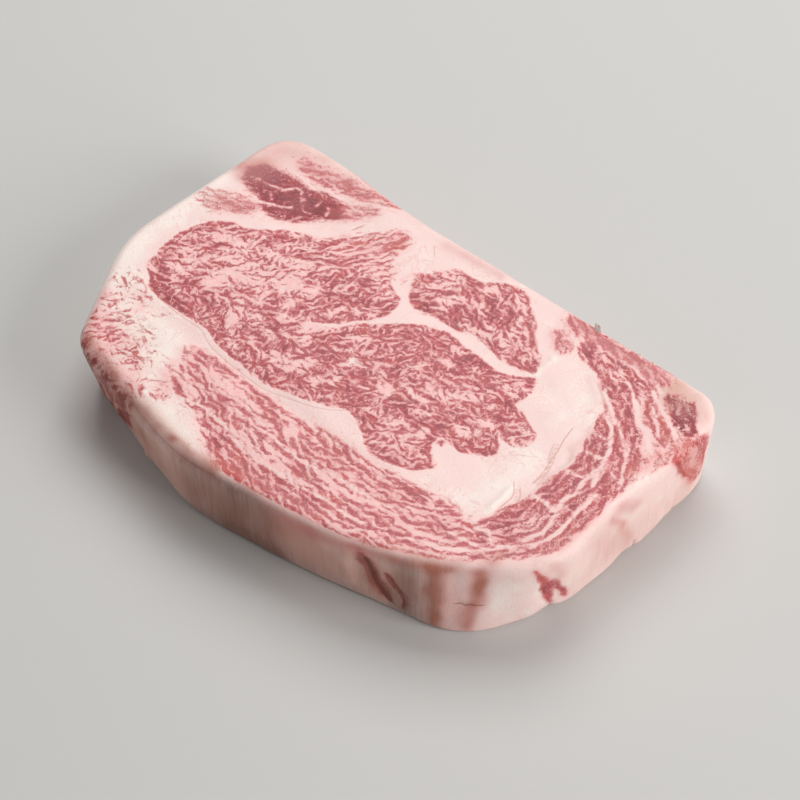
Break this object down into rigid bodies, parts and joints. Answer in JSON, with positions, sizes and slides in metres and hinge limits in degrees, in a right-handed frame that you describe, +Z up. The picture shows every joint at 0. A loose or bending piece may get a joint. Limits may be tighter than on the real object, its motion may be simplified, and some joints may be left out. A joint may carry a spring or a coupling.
{
  "type": "raw ribeye steak",
  "caption": "Thick raw boneless ribeye steak, heavily marbled, with an eye muscle, a fat cap and two flat cut faces.",
  "frame": {"origin": "centre of the steak's outline on the flat lower cut face, which is what it rests on", "axes": "+X along the length of the slice towards its tail end, +Y towards the back edge of the rib side, +Z up through the thickness of the cut"},
  "size_m": [0.2014, 0.1314, 0.0308],
  "materials": {
    "marbled_beef": null
  },
  "bodies": {
    "root": {"steak": "marbled_beef"}
  },
  "joints": []
}
